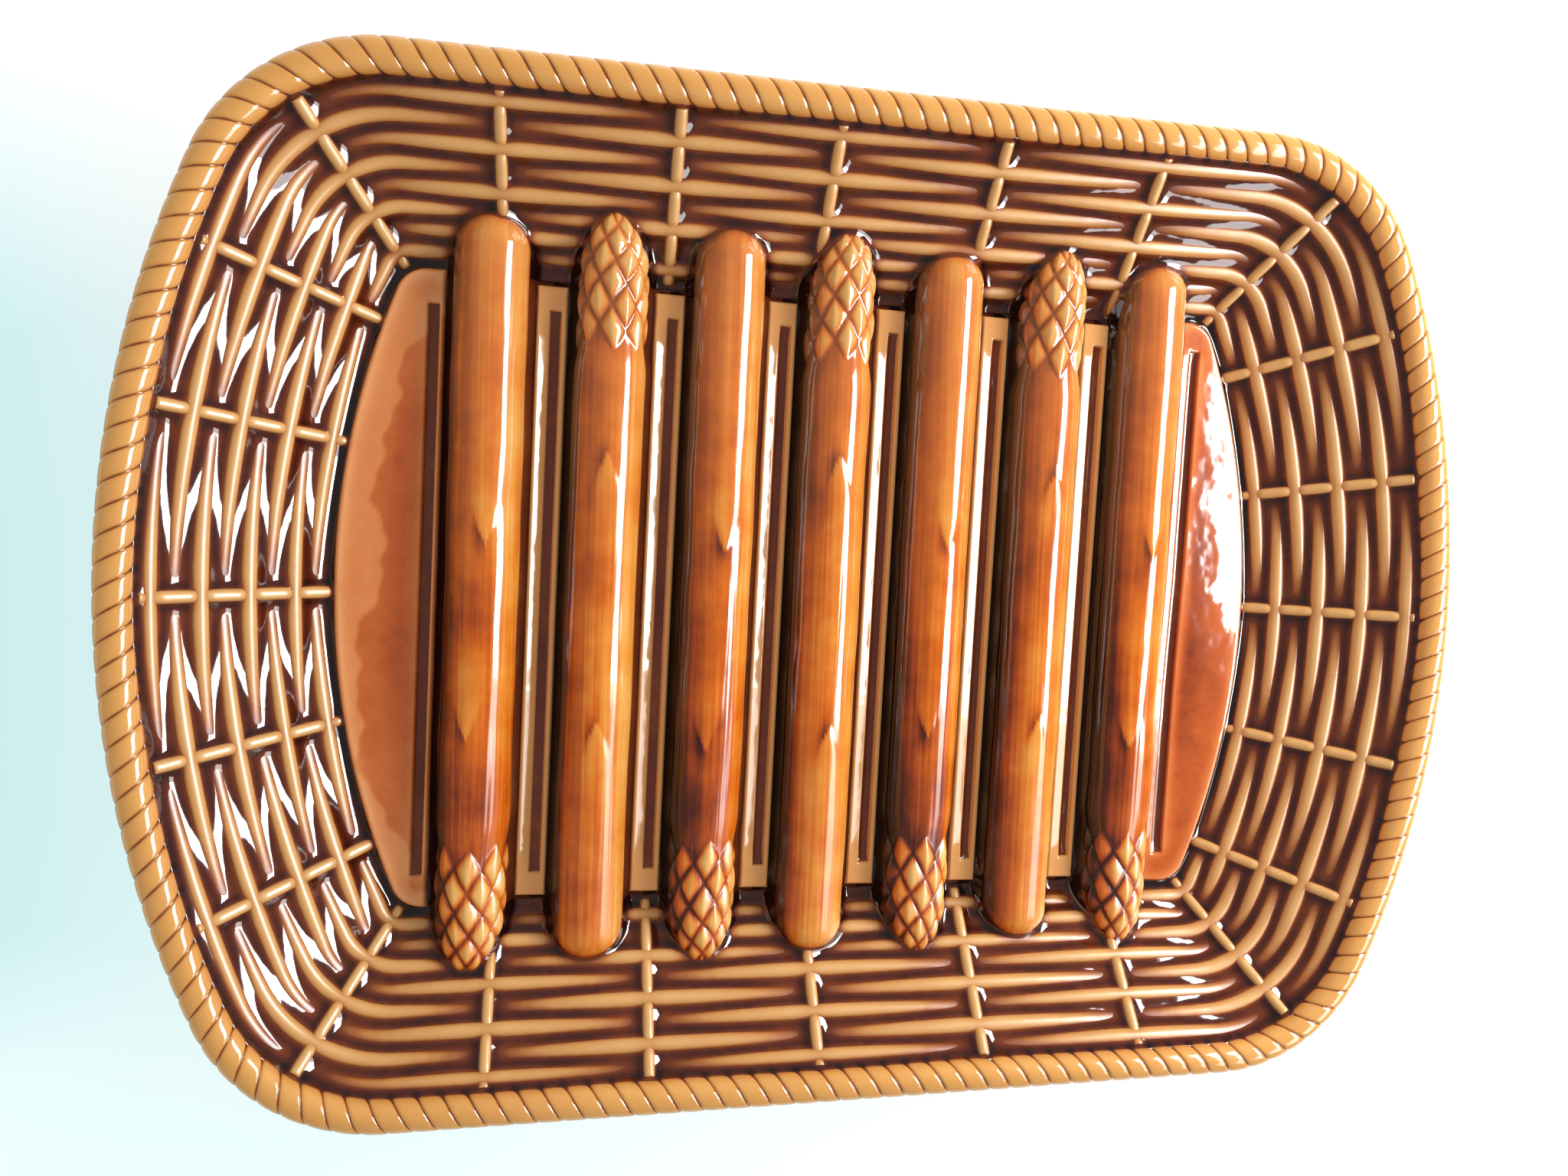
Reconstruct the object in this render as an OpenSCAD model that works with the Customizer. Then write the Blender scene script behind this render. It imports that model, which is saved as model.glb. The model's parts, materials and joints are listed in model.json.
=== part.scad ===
/* [Dish outline] */
// Overall length over the rope rim
dish_l = 370; // [330:1:410]
// Overall width over the rope rim
dish_w = 273; // [250:1:300]
// Radius of the strongly bowed short sides, at the rim
short_bow_r = 275; // [240:1:320]
// Radius of the four corners, at the rim
corner_r = 50; // [49.5:0.5:60]

/* [Wall and floor] */
// Height of the middle of the rope above the table
rim_h = 39; // [36:0.5:44]
// Thickness of the floor
floor_t = 4; // [3:0.1:5]
// Thickness of the flared wall, square to its slope
wall_t = 4.4; // [3.5:0.1:5]
// Width of the flared wall in plan, from the rim to the well
flare_w = 46.5; // [44:0.5:48]
// Thickness of the rope rim
rope_d = 9; // [8:0.1:10]

/* [Foot] */
// Height of the foot ring below the floor
foot_h = 2.5; // [1.5:0.1:4]
// Width of the foot ring where it rests
foot_w = 4; // [3:0.1:6]
// Distance of the foot ring inside the edge of the well
foot_inset = 6; // [5:0.5:12]
// Corner radius of the foot ring
foot_corner_r = 22; // [16:1:30]

/* [Woven wall] */
// Distance from the rim to the middle of the first row of strands, in plan
first_row_d = 10.6; // [10.2:0.1:11]
// Distance from the middle of the last row of strands to the well, in plan
last_row_room = 3.35; // [3:0.05:4]
// Width of a strand where it crosses over a stake
strand_w = 4.4; // [3.8:0.1:4.6]
// Height of a strand where it crosses over a stake
strand_h = 2.4; // [1.6:0.1:3]
// Distance between the stakes of the long sides
long_stake_pitch = 46; // [44:0.5:48]
// Distance from the last stake of a short side to its corner, along the rim
short_stake_room = 22.5; // [16:0.5:28]
// Width of a stake
stake_w = 3.6; // [3:0.1:4.5]
// Height of a stake
stake_h = 2; // [1.4:0.1:2.4]

/* [Asparagus] */
// Length of each end of a spear that lies on the wall, in plan
spear_run = 15.5; // [12:0.5:18]
// Room beside the row of spears, to each end of the well
end_room = 31.1; // [28:0.1:34]
// Height of a spear's axis above the floor of the well
spear_axis_h = 6; // [4:0.1:7]
// Sideways lean of the spears, in degrees
spear_lean = 1.2; // [0:0.1:2]
// Sideways shift of the row of spears
row_shift = -0.8; // [-2:0.1:2]
// Length of the tapered, scaly tip
tip_l = 34; // [28:1:40]
// Length of the smooth bud in front of the first scales
bud_l = 4.5; // [2:0.5:8]
// Rounding of the plain cut end
cut_end_r = 9.3; // [4:0.1:9.6]
// Height that a scale's free point stands out
scale_h = 1.3; // [0.8:0.1:1.8]

/* [Drain bars and end fields] */
// Height of the bars and of the end fields above the floor of the well
bar_h = 3.8; // [3:0.1:5]
// Width of a drain bar
bar_w = 9; // [8:0.1:9.5]
// Gap between a drain bar and the spears beside it
bar_gap = 1.5; // [1:0.1:2.5]
// Gap between the ends of a bar and the edge of the well
bar_end_gap = 3.8; // [2:0.1:8]
// Width of the slot in a bar
slot_w = 5.2; // [4:0.1:6]
// Depth of a slot
slot_depth = 3; // [2:0.1:3.4]
// Length of the solid block at each end of a slot
slot_end = 7; // [4:0.5:10]
// Width of the groove round each end field
groove_w = 1.2; // [0.8:0.1:4]
// Corner radius of an end field
field_corner_r = 9; // [6:0.5:12]

/* [Hidden] */

// Colours of the glaze where it is thin, where it is pooled and on the flat fields
tan_glaze = [0.74, 0.50, 0.25];
dark_glaze = [0.20, 0.10, 0.07];
spear_glaze = [0.72, 0.36, 0.10];
field_glaze = [0.68, 0.31, 0.12];

// Overrun of every cut
cut = 1;
// Facets of the revolved surfaces, and steps of each arc of an outline
round_fn = 96;
arc_steps = 8;

// Half sizes of the outline, and the well inside the wall
half_l = dish_l / 2;
half_w = dish_w / 2;
well_l = dish_l - 2 * flare_w;
well_w = dish_w - 2 * flare_w;

// The spears and the bars between them fill the well from end room to end room
spear_count = 7;
mid_spear = (spear_count + 1) / 2;
spear_gap = bar_w + 2 * bar_gap;
spear_pitch = (well_l - 2 * end_room + spear_gap) / spear_count;
spear_d = spear_pitch - spear_gap;
spear_r = spear_d / 2;
spear_l = well_w + 2 * spear_run;
bar_l = well_w - 2 * bar_end_gap;

// Heights, upwards from the table
floor_z = foot_h + floor_t;
rope_r = rope_d / 2;

// The inner face of the wall runs straight from the edge of the well to the rope
wall_top_d = rope_d;
wall_top_z = rim_h - rope_r / 2;
wall_slope = atan((wall_top_z - floor_z) / (flare_w - wall_top_d));
function wall_z(d) = floor_z + (flare_w - d) * tan(wall_slope);

// An outline has straight long sides, bowed short sides and round corners. It is kept as
// [half length, half width, bow radius, corner radius, middle of the corner arc]
function bowed(l, w, rs, rc) =
    [l, w, rs, rc, [l - rs + sqrt(pow(rs - rc, 2) - pow(w - rc, 2)), w - rc]];
rim = bowed(half_l, half_w, short_bow_r, corner_r);

// Direction in which the bow ends and the corner arc starts
function arc_start(b) = asin(b[4][1] / (b[2] - b[3]));

// Lengths of the bow, the corner and the straight in one quarter of the outline moved in by d
function rad(a) = a * PI / 180;
function deg(a) = a * 180 / PI;
function bow_run(b, d) = (b[2] - d) * rad(arc_start(b));
function corner_run(b, d) = (b[3] - d) * rad(90 - arc_start(b));
function quarter_run(b, d) = bow_run(b, d) + corner_run(b, d) + b[4][0];

// Place [x, y, direction of the normal] after a distance s along the first quarter
function bow_place(b, d, a) = [b[0] - b[2] + (b[2] - d) * cos(a), (b[2] - d) * sin(a), a];
function corner_place(b, d, a) = [b[4][0] + (b[3] - d) * cos(a), b[4][1] + (b[3] - d) * sin(a), a];
function quarter_place(b, d, s) =
    let (past_bow = s - bow_run(b, d), past_corner = past_bow - corner_run(b, d))
    past_bow < 0 ? bow_place(b, d, deg(s / (b[2] - d))) :
    past_corner < 0 ? corner_place(b, d, arc_start(b) + deg(past_bow / (b[3] - d))) :
    [b[4][0] - past_corner, b[1] - d, 90];

// The same round the whole outline, anticlockwise from the middle of the right side
function round_place(b, d, s) =
    let (q = quarter_run(b, d), k = floor(s / q), t = s - k * q, m = (k % 4 + 4) % 4)
    let (p = quarter_place(b, d, m % 2 == 0 ? t : q - t))
    m == 0 ? p :
    m == 1 ? [-p[0], p[1], 180 - p[2]] :
    m == 2 ? [-p[0], -p[1], 180 + p[2]] :
    [p[0], -p[1], 360 - p[2]];

// Whole outline as points, n of them to each arc
function turned(p) = [for (i = [len(p) - 1 : -1 : 0]) p[i]];
function quarter_points(b, d, n) = concat(
    [for (i = [0 : n - 1]) let (p = bow_place(b, d, arc_start(b) * i / n)) [p[0], p[1]]],
    [for (i = [0 : n])
        let (p = corner_place(b, d, arc_start(b) + (90 - arc_start(b)) * i / n)) [p[0], p[1]]]);
function bowed_points(b, d, n) = let (q = quarter_points(b, d, n)) concat(
    q,
    [for (p = turned(q)) [-p[0], p[1]]],
    [for (i = [1 : len(q) - 1]) -q[i]],
    [for (i = [len(q) - 1 : -1 : 1]) [q[i][0], -q[i][1]]]);

// Skin through rings of points that all have the same count, closed in itself or capped
module loft(rings, closed = false) {
    n = len(rings[0]);
    last = len(rings) - 1;
    polyhedron(
        points = [for (r = rings) each r],
        faces = concat(
            [for (i = [0 : closed ? last : last - 1], k = [0 : n - 1])
                let (j = (i + 1) % (last + 1), m = (k + 1) % n)
                each [[i * n + k, j * n + k, j * n + m], [i * n + k, j * n + m, i * n + m]]],
            closed ? [] : [[for (k = [0 : n - 1]) k], [for (k = [n - 1 : -1 : 0]) last * n + k]]));
}
// Rings round an outline from the profile's points [distance inside, height]
function rings(b, profile) = [for (q = profile) [for (p = bowed_points(b, q[0], arc_steps)) [p[0], p[1], q[1]]]];

// The rope is a twelve-sided bead whose lowest sides rest in a seat on the wall
rope_sides = 12;
rope_step = 360 / rope_sides;
function rope_point(i) =
    [rope_r - rope_r * cos(i * rope_step), rim_h - rope_r * sin(i * rope_step)];
first_seat = 2;
last_seat = 5;

// Section of the flared wall, from the underside outwards, over the seat and down to the well
outer_foot_d = flare_w + wall_t * tan(wall_slope / 2);
wall_section = concat(
    [[outer_foot_d, foot_h]],
    [for (i = [first_seat : last_seat]) rope_point(i)],
    [[wall_top_d, wall_top_z], [flare_w, floor_z]]);

module tray_shell() {
    color(dark_glaze)
        loft(rings(rim, wall_section));
}

// Room taken by the walls of the two straight long sides, to cut what runs up on them
module long_walls() {
    for (side = [0, 1])
        mirror([0, side, 0])
            translate([-rim[4][0], half_w, 0])
                rotate([90, 0, 90])
                    linear_extrude(height = 2 * rim[4][0])
                        polygon([
                            [-flare_w, floor_z],
                            [-flare_w, foot_h],
                            [0, foot_h],
                            [0, wall_top_z],
                            [-wall_top_d, wall_top_z]
                        ]);
}

// The foot ring stands inside the edge of the well
foot_draft_share = 0.25;
foot_d = flare_w + foot_inset;
foot = bowed(half_l - foot_d, half_w - foot_d, short_bow_r - foot_d, foot_corner_r);
module foot_ring() {
    draft = foot_h * foot_draft_share;
    color(tan_glaze)
        loft(rings(foot, [[0, 0], [-draft, foot_h], [foot_w + draft, foot_h], [foot_w, 0]]), closed = true);
}

module rope_rim() {
    color(tan_glaze)
        loft(rings(rim, [for (i = [rope_sides - 1 : -1 : 0]) rope_point(i)]), closed = true);
}

// Stakes, numbered anticlockwise from the middle of the right side
long_stake_count = 5;
short_stake_count = 5;
stake_count = 2 * (long_stake_count + short_stake_count) + 4;
row_count = 8;
half_short = (short_stake_count - 1) / 2;
half_long = (long_stake_count - 1) / 2;
first_corner = half_short + 1;
long_mid = first_corner + 1 + half_long;
row_pitch = (flare_w - first_row_d - last_row_room) / (row_count - 1);
short_stake_pitch = (bow_run(rim, 0) - short_stake_room) / half_short;

// The weave is uneven: each stake stands off its even place by a share of the pitch
uneven_shares = [
    0, 0, 0.04, 0,
    0.11, 0.13, 0.13, 0.05, 0.03, 0,
    -0.09, -0.12, 0, 0, 0, 0,
    -0.04, -0.10, -0.08, -0.03, 0.01, 0,
    -0.13, -0.08
];

// Distance along a row, offset by d, of the place where stake i crosses it
function stake_run(d, i) =
    i < 0 ? stake_run(d, i + stake_count) - 4 * quarter_run(rim, d) :
    i >= stake_count ? stake_run(d, i - stake_count) + 4 * quarter_run(rim, d) :
    even_stake_run(d, i) + uneven_shares[i] * long_stake_pitch;
function even_stake_run(d, i) =
    i > stake_count / 2 ? 4 * quarter_run(rim, d) - half_stake_run(d, stake_count - i) :
    half_stake_run(d, i);
function half_stake_run(d, i) =
    i <= half_short ? (short_bow_r - d) * i * short_stake_pitch / short_bow_r :
    i == first_corner ? bow_run(rim, d) + corner_run(rim, d) / 2 :
    i < long_mid + half_long + 1 ?
        quarter_run(rim, d) - (long_mid - i) * long_stake_pitch :
    i == long_mid + half_long + 1 ? 2 * quarter_run(rim, d) - bow_run(rim, d) - corner_run(rim, d) / 2 :
    2 * quarter_run(rim, d) - (short_bow_r - d) * (stake_count / 2 - i) * short_stake_pitch / short_bow_r;

function row_d(row) = first_row_d + (row - 1) * row_pitch;

// Point on the wall: s along the row at d, then w down the slope and h square to it
function on_wall(d, s, w, h) =
    let (p = round_place(rim, d, s), inwards = w * cos(wall_slope) + h * sin(wall_slope))
    [p[0] - inwards * cos(p[2]), p[1] - inwards * sin(p[2]),
     wall_z(d) - w * sin(wall_slope) + h * cos(wall_slope)];

// A strand swells where it crosses its stake and thins where it dives under the next ones
strand_reach_share = 0.93;
thin_w_share = 0.42;
thin_h_share = 0.3;
crown_w_share = 0.5;
swell_power = 0.8;
function swell(t) = pow(cos(t * 90), swell_power);
function strand_section(d, s, t) =
    let (w = strand_w * (thin_w_share + (1 - thin_w_share) * swell(t)) / 2)
    let (h = strand_h * (thin_h_share + (1 - thin_h_share) * swell(t)))
    [on_wall(d, s, w, 0), on_wall(d, s, w * crown_w_share, h),
     on_wall(d, s, -w * crown_w_share, h), on_wall(d, s, -w, 0)];

// A strand that bends round a corner gets more stations
plain_steps = 6;
bent_steps = 12;
function near_corner(i) = let (m = i % (stake_count / 4)) abs(m - first_corner) < 2;
function run_between(d, i, t) =
    t < 0 ? stake_run(d, i) + t * (stake_run(d, i) - stake_run(d, i - 1)) :
    stake_run(d, i) + t * (stake_run(d, i + 1) - stake_run(d, i));

module strand(d, i) {
    steps = near_corner(i) ? bent_steps : plain_steps;
    sections = [for (k = [0 : steps])
        let (t = strand_reach_share * (2 * k / steps - 1))
        each strand_section(d, run_between(d, i, t), t)];
    n = 4;
    polyhedron(
        points = sections,
        faces = concat(
            [[0, 1, 2], [0, 2, 3]],
            [for (k = [0 : steps - 1], j = [0 : n - 1]) each [
                [k * n + j, (k + 1) * n + (j + 1) % n, k * n + (j + 1) % n],
                [k * n + j, (k + 1) * n + j, (k + 1) * n + (j + 1) % n]]],
            [[steps * n, steps * n + 2, steps * n + 1], [steps * n, steps * n + 3, steps * n + 2]]));
}

// Rows whose strands run under the ends of the spears are cut away there
first_cut_row = ceil((flare_w - spear_run - strand_w / 2 - first_row_d) / row_pitch + 1);
module weave_row(row) {
    color(tan_glaze)
        difference() {
            for (i = [row % 2 == 1 ? 0 : 1 : 2 : stake_count - 1])
                strand(row_d(row), i);
            if (row >= first_cut_row)
                for (k = [1 : spear_count])
                    spear_place(k)
                        spear_body(k % 2 == 1, scale_h);
        }
}

// A stake shows as short blocks, one in each row where the strands dive under it
stake_top_share = 0.6;
module stake_block(row, i) {
    d = row_d(row);
    place = round_place(rim, d, stake_run(d, i));
    length = 2 * row_pitch / cos(wall_slope) - strand_w;
    translate([place[0], place[1], wall_z(d)])
        rotate([0, 0, place[2]])
            rotate([0, -wall_slope, 0])
                rotate([90, 0, 90])
                    linear_extrude(height = length, center = true)
                        polygon([
                            [-stake_w / 2, 0],
                            [stake_w / 2, 0],
                            [stake_w / 2 * stake_top_share, stake_h],
                            [-stake_w / 2 * stake_top_share, stake_h]
                        ]);
}
module weave_stakes() {
    color(tan_glaze)
        difference() {
            for (i = [0 : stake_count - 1], row = [1 + (i + 1) % 2 : 2 : row_count])
                stake_block(row, i);
            for (k = [1 : spear_count])
                spear_place(k)
                    spear_body(k % 2 == 1, scale_h);
        }
}

// Spears lie side by side; the odd ones have their tips towards the front
module spear_place(k) {
    translate([row_shift + (k - mid_spear) * spear_pitch, 0, floor_z])
        rotate([0, 0, -spear_lean])
            children();
}

// Half outline of a spear in plan, tip towards +y: [half width, distance along]
tip_blunt = 5;
tip_point = 0.5;
tip_steps = 10;
full_round_share = 0.95;
end_r = min(cut_end_r, spear_r * full_round_share);
cut_steps = 4;
function tip_half(t) = spear_r * pow(1 - pow(t, tip_blunt), tip_point);
function tip_outline(room) = [for (i = [0 : tip_steps])
    let (t = i / tip_steps) [tip_half(t) + room, spear_l / 2 - tip_l * (1 - t)]];
cut_outline = [for (i = [0 : cut_steps])
    let (a = 90 * i / cut_steps)
    [spear_r - end_r * (1 - cos(a)), -spear_l / 2 + end_r * (1 - sin(a))]];
function spear_half(room) = concat(
    [[0, -spear_l / 2]],
    turned(cut_outline),
    tip_outline(room),
    room > 0 ? [[0, spear_l / 2]] : []);

// A spear is an arch over upright sides, so that it leaves its mould; room widens its tip
module spear_body(tip_down, room = 0) {
    outline = spear_half(room);
    rotate([0, 0, tip_down ? 180 : 0]) {
        translate([0, 0, spear_axis_h])
            mirror([0, 1, 0])
                rotate([90, 0, 0])
                    rotate_extrude(angle = 180, $fn = round_fn)
                        polygon(outline);
        linear_extrude(height = spear_axis_h)
            polygon(concat(outline, turned([for (p = outline) [-p[0], p[1]]])));
    }
}

// A scale is a pointed leaf that rises out of the spear towards its free point; r is the
// spear's radius there
root_sink_share = 0.5;
base_sink_share = 0.4;
free_point_share = 0.9;
module leaf(r, l, w, h) {
    root = -h * root_sink_share;
    side = root - r + sqrt(r * r - w * w / 4);
    base = side - r * base_sink_share;
    polyhedron(
        points = [
            [0, -l / 2, base], [w / 2, 0, base], [0, l / 2, base], [-w / 2, 0, base],
            [0, -l / 2, root], [w / 2, 0, side], [0, l / 2 * free_point_share, h], [-w / 2, 0, side]
        ],
        faces = [
            [0, 1, 2], [0, 2, 3],
            [4, 6, 5], [4, 7, 6],
            [0, 5, 1], [0, 4, 5], [1, 6, 2], [1, 5, 6],
            [2, 7, 3], [2, 6, 7], [3, 4, 0], [3, 7, 4]
        ]);
}

// Scales overlap in rows over the tip, each row set between the scales of the row before
scale_row_count = 5;
scale_pitch = 7.5;
scale_l = 13;
scale_w = 9.5;
scale_turns = [[-68, -34, 0, 34, 68], [-51, -17, 17, 51]];
function reach_at(y) = let (t = max(0, 1 - (spear_l / 2 - y) / tip_l)) tip_half(t);
module tip_scales() {
    for (row = [0 : scale_row_count - 1]) {
        y = spear_l / 2 - bud_l - scale_l / 2 - row * scale_pitch;
        r = reach_at(y);
        pull = atan((reach_at(y - scale_l / 2) - reach_at(y + scale_l / 2)) / scale_l);
        for (turn = scale_turns[row % 2])
            translate([0, y, spear_axis_h])
                rotate([0, turn, 0])
                    translate([0, 0, r])
                        rotate([-pull, 0, 0])
                            leaf(r, scale_l, scale_w * r / spear_r, scale_h);
    }
}

// A bract is one such leaf on the plain length of a spear: [share of the length, turn]
bract_l = 24;
bract_w = 9;
bract_h = 1;
bract_places_share = [[-0.17, -14], [0.16, 22]];
module bracts() {
    for (b = bract_places_share)
        translate([0, b[0] * spear_l, spear_axis_h])
            rotate([0, b[1], 0])
                translate([0, 0, spear_r])
                    leaf(spear_r, bract_l, bract_w, bract_h);
}

module asparagus(k) {
    tip_down = k % 2 == 1;
    color(spear_glaze)
        difference() {
            spear_place(k)
                union() {
                    spear_body(tip_down);
                    rotate([0, 0, tip_down ? 180 : 0]) {
                        tip_scales();
                        bracts();
                    }
                }
            long_walls();
        }
}

// A slot is sunk into its bar or field between solid ends
module slot(l) {
    translate([-slot_w / 2, -l / 2, bar_h - slot_depth])
        cube([slot_w, l, slot_depth + cut]);
}
module drain_bar(k) {
    color(tan_glaze)
        translate([row_shift + (k + 1 / 2 - mid_spear) * spear_pitch, 0, floor_z])
            rotate([0, 0, -spear_lean])
                difference() {
                    translate([-bar_w / 2, -bar_l / 2, 0])
                        cube([bar_w, bar_l, bar_h]);
                    slot(bar_l - 2 * slot_end);
                }
}

// The D-shaped fields follow the edge of the well, one groove inside it
field_d = flare_w + groove_w;
field = bowed(half_l - field_d, half_w - field_d, short_bow_r - field_d, field_corner_r);
module end_field(side) {
    edge_x = (mid_spear - 1 / 2) * spear_pitch - bar_w / 2;
    color(field_glaze)
        translate([0, 0, floor_z])
            difference() {
                linear_extrude(height = bar_h)
                    intersection() {
                        polygon(bowed_points(field, 0, arc_steps));
                        translate([row_shift, 0])
                            rotate([0, 0, -spear_lean])
                                translate([side > 0 ? edge_x : -edge_x - dish_l, -dish_w / 2])
                                    square([dish_l, dish_w]);
                    }
                translate([row_shift, 0, 0])
                    rotate([0, 0, -spear_lean])
                        translate([side * (edge_x + bar_w / 2), 0, 0])
                            slot(bar_l - 2 * slot_end);
            }
}

tray_shell();
foot_ring();
rope_rim();
weave_row(1);  // weave_row_1
weave_row(2);  // weave_row_2
weave_row(3);  // weave_row_3
weave_row(4);  // weave_row_4
weave_row(5);  // weave_row_5
weave_row(6);  // weave_row_6
weave_row(7);  // weave_row_7
weave_row(8);  // weave_row_8
weave_stakes();
end_field(-1);  // end_field_left
end_field(1);  // end_field_right
drain_bar(1);  // drain_bar_1
drain_bar(2);  // drain_bar_2
drain_bar(3);  // drain_bar_3
drain_bar(4);  // drain_bar_4
drain_bar(5);  // drain_bar_5
drain_bar(6);  // drain_bar_6
asparagus(1);  // asparagus_1
asparagus(2);  // asparagus_2
asparagus(3);  // asparagus_3
asparagus(4);  // asparagus_4
asparagus(5);  // asparagus_5
asparagus(6);  // asparagus_6
asparagus(7);  // asparagus_7
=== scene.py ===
import json
import math
import bpy
import numpy as np
from mathutils import Matrix
from mathutils.bvhtree import BVHTree


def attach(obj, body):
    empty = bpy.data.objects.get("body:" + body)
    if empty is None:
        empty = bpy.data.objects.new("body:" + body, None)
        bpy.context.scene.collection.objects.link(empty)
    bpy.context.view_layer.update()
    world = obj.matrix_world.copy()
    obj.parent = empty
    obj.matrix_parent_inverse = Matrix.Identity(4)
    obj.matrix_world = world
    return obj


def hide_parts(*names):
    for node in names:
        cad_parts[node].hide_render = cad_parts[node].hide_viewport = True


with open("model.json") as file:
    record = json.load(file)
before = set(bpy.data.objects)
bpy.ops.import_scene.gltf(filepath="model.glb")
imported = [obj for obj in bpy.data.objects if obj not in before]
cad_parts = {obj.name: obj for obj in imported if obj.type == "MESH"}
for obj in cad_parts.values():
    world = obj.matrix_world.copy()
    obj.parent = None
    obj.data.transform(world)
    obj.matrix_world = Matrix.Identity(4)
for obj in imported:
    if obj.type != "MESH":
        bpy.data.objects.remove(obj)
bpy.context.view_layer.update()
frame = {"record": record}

mm = 0.001  # shapes are worked out in millimetres; the camera, lights and floor are in metres
chance = np.random.default_rng(8)
print("frame loaded")

# Camera and studio
camera = dict(
    place=(-0.07468, 0.02461, 0.32516),
    right=(0.980968, 0.031814, 0.191547),
    up=(-0.018586, 0.997341, -0.070461),
    back=(-0.193279, 0.065560, 0.978951),
    lens=25.24, sensor=36, nearest=0.01,
)


def aimFrom(right, up, back, place):
    m = Matrix((right, up, back)).transposed().to_4x4()
    m.translation = place
    return m


def makeCamera():
    lensData = bpy.data.cameras.new("camera")
    lensData.sensor_width = camera["sensor"]
    lensData.lens = camera["lens"]
    lensData.clip_start = camera["nearest"]
    view = bpy.data.objects.new("camera", lensData)
    view.matrix_world = aimFrom(camera["right"], camera["up"], camera["back"], camera["place"])
    bpy.context.collection.objects.link(view)
    bpy.context.scene.camera = view


makeCamera()
bpy.context.scene.view_settings.view_transform = "Standard"

# The lamp gives the plain light; the windows are only seen in the gloss
studio = dict(
    world=0.60,  # light from all sides
    gloom=0.26,  # what the gloss shows beside the windows
    backdrop=1.0,
    lamp=dict(
        place=(0.37, 0.20, 0.315), target=(0.0, 0.10, 0.0), size=(0.70, 0.18), power=3.3),
    window=dict(
        place=(0.425, 0.072, 0.3525), target=(0.038, 0.072, 0.252), size=(0.396, 0.199), power=8.0),
    lowWindow=dict(
        place=(0.425, -0.263, 0.3525), target=(0.038, -0.263, 0.252), size=(0.274, 0.199), power=1.3),
)


def softBox(name, place, target, size, power, glossy):
    light = bpy.data.lights.new(name, "AREA")
    light.shape = "RECTANGLE"
    light.size, light.size_y = size
    light.energy = power
    ob = bpy.data.objects.new(name, light)
    back = np.array(place) - np.array(target)
    back /= np.linalg.norm(back)
    right = np.cross((0, 0, 1), back)
    right /= np.linalg.norm(right)
    ob.matrix_world = aimFrom(right, np.cross(back, right), back, place)
    bpy.context.collection.objects.link(ob)
    ob.visible_glossy, ob.visible_diffuse = glossy, not glossy


softBox("soft_lamp", **studio["lamp"], glossy=False)
softBox("window_light", **studio["window"], glossy=True)
softBox("low_window_light", **studio["lowWindow"], glossy=True)
print("camera and lights placed")


# Node helpers
class Wire:
    # one socket of a node tree; sums on wires add Math nodes
    def __init__(self, finish, socket):
        self.finish, self.socket = finish, socket

    def worked(self, operation, first, second):
        return self.finish.node("ShaderNodeMath", {"operation": operation}, {0: first, 1: second})

    def __add__(self, other):
        return self.worked("ADD", self, other)

    def __radd__(self, other):
        return self.worked("ADD", other, self)

    def __sub__(self, other):
        return self.worked("SUBTRACT", self, other)

    def __rsub__(self, other):
        return self.worked("SUBTRACT", other, self)

    def __mul__(self, other):
        return self.worked("MULTIPLY", self, other)

    def __rmul__(self, other):
        return self.worked("MULTIPLY", other, self)

    def held(self, low=0.0, high=1.0):
        return self.finish.node("ShaderNodeClamp", {}, {"Value": self, "Min": low, "Max": high})


class Finish:
    # the nodes of one material, or of the world
    def __init__(self, owner, outputKind="ShaderNodeOutputMaterial"):
        owner.use_nodes = True
        self.owner, self.tree = owner, owner.node_tree
        self.tree.nodes.clear()
        self.output = self.tree.nodes.new(outputKind)

    def node(self, kind, settings, values, out=0):
        made = self.tree.nodes.new(kind)
        for key, value in settings.items():
            if key == "stops":
                ramp = made.color_ramp
                while len(ramp.elements) < len(value):
                    ramp.elements.new(0.5)
                for element, (place, colour) in zip(ramp.elements, value):
                    element.position = place
                    element.color = (*colour, 1)
            else:
                setattr(made, key, value)
        for key, value in values.items():
            if isinstance(value, Wire):
                self.tree.links.new(value.socket, made.inputs[key])
            else:
                made.inputs[key].default_value = value
        return Wire(self, made.outputs[out])

    def mixed(self, share, first, second):
        return self.node("ShaderNodeMix", {"data_type": "RGBA"}, {0: share, 6: first, 7: second}, 2)

    def noise(self, place, scale, detail, rough):
        return self.node(
            "ShaderNodeTexNoise", {},
            {"Vector": place, "Scale": scale, "Detail": detail, "Roughness": rough})

    def stretched(self, place, stretch, turn):
        return self.node(
            "ShaderNodeMapping", {},
            {"Vector": place, "Scale": stretch, "Rotation": (0, 0, turn)})

    def axis(self, place, name):
        return self.node("ShaderNodeSeparateXYZ", {}, {0: place}, name)

    def shine(self, shader):
        self.tree.links.new(shader.socket, self.output.inputs["Surface"])
        return self.owner


def srgb(r, g, b):
    return tuple(
        c / 12.92 if c <= 0.04045 else ((c + 0.055) / 1.055) ** 2.4
        for c in (r / 255, g / 255, b / 255))


def colourStops(*rows):
    return [(place, srgb(*colour)) for place, *colour in rows]


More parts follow.
